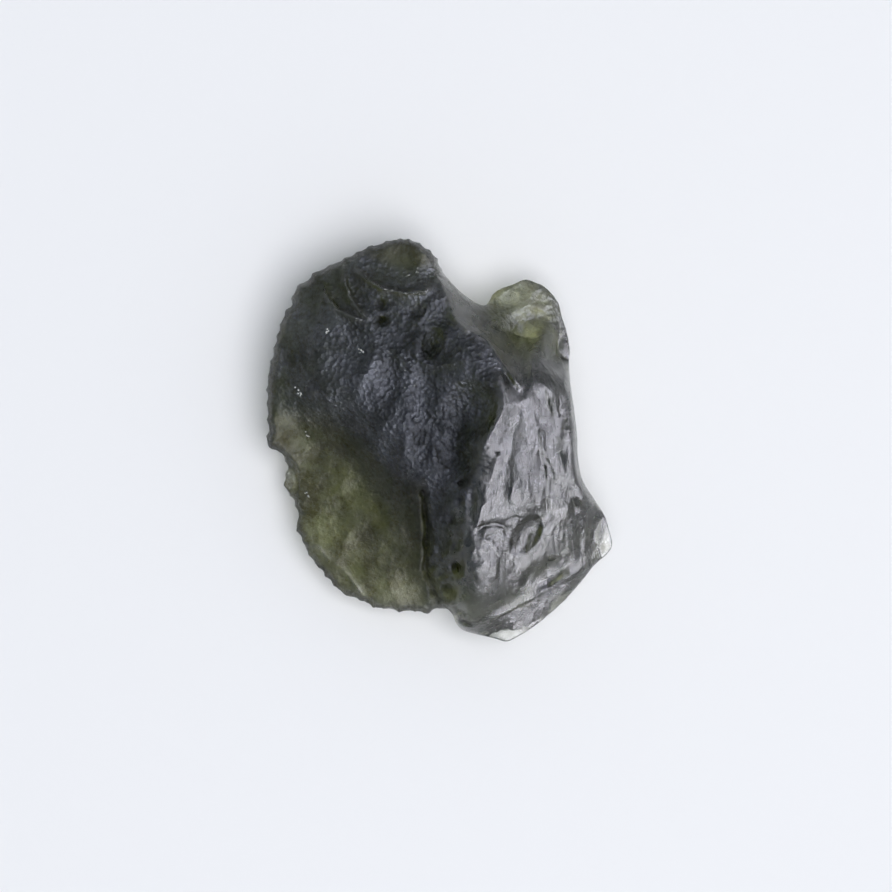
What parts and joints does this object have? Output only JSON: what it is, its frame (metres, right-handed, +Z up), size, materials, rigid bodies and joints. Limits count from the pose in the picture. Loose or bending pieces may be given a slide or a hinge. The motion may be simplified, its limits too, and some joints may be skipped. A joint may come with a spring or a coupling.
{
  "type": "moldavite",
  "caption": "A raw moldavite, a small natural stone of dark green impact glass with a weathered, pitted left side and a glossy fluted ridge.",
  "frame": {"origin": "under the middle of the outline, on the surface the stone rests on", "axes": "+X across the stone towards its glossy ridge, +Y along it towards the dished top end, +Z up, out of the sculpted front"},
  "size_m": [0.013, 0.015, 0.0069],
  "materials": {
    "moldavite_glass": "natural bottle-green glass, frosted and pitted where weathered, glossy along the ridge and pale where thin"
  },
  "bodies": {
    "root": {"moldavite": "moldavite_glass"}
  },
  "joints": []
}
